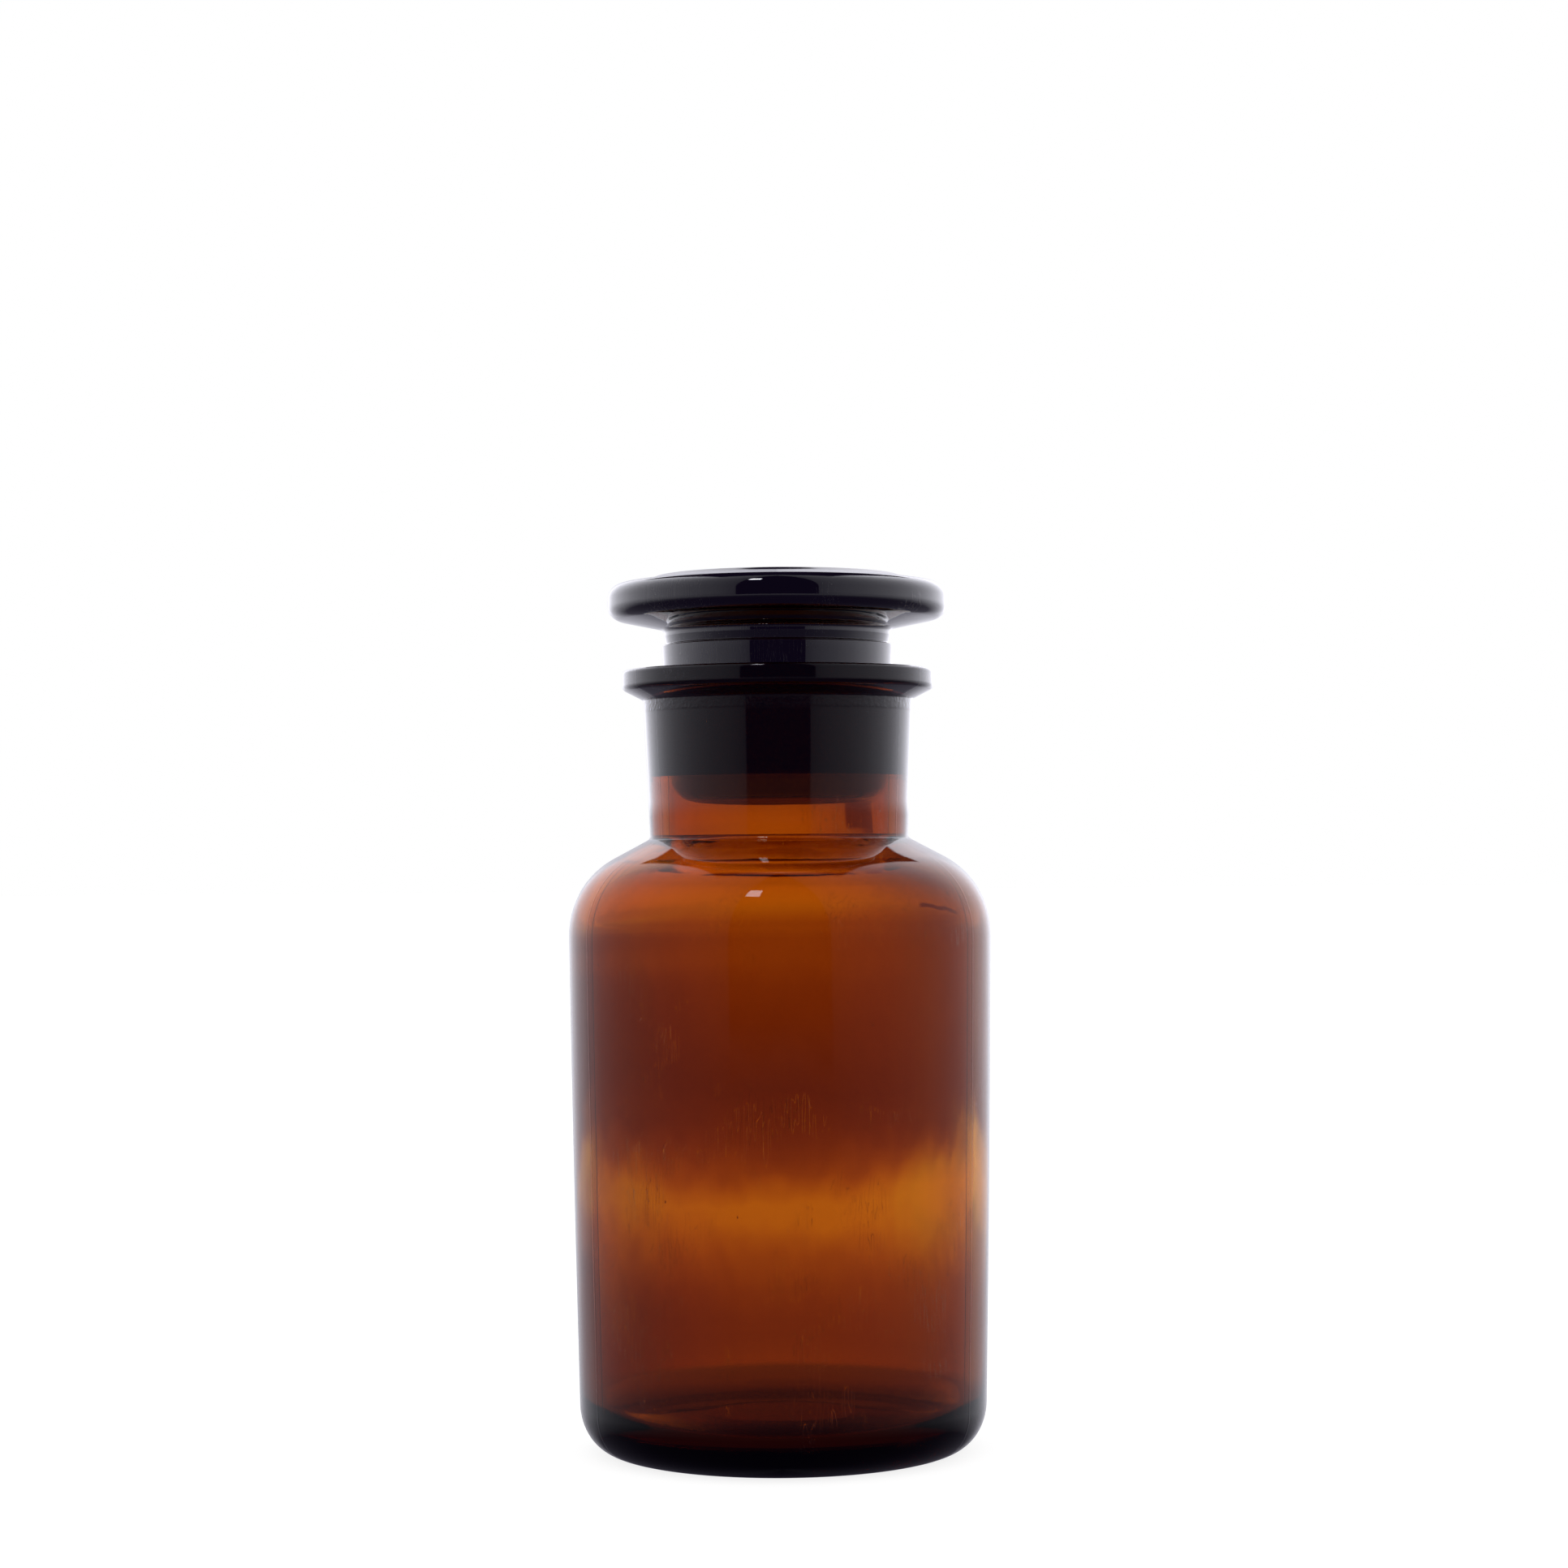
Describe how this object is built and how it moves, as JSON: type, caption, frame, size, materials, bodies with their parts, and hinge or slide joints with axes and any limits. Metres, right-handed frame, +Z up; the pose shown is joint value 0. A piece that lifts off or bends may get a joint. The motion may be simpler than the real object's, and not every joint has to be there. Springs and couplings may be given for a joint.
{
  "type": "reagent bottle",
  "caption": "Wide-mouth amber glass reagent bottle with a flanged neck and a solid ground-glass stopper that lifts out.",
  "frame": {"origin": "middle of the base, on the surface that the bottle stands on", "axes": "+Z up the axis of the bottle; X and Y are any two level directions, because every piece is round"},
  "size_m": [0.0858, 0.0858, 0.1772],
  "materials": {
    "amber_glass": "clear amber, smooth and glossy",
    "stopper_glass": "thick amber that looks almost black, glossy disc and satin ground plug"
  },
  "bodies": {
    "bottle": {"bottle": "amber_glass"},
    "stopper": {"stopper": "stopper_glass"}
  },
  "joints": [
    {"name": "stopper_lift", "type": "slide", "parent": "bottle", "child": "stopper", "axis": [0, 0, 1], "range_m": [0, 0.1]}
  ]
}
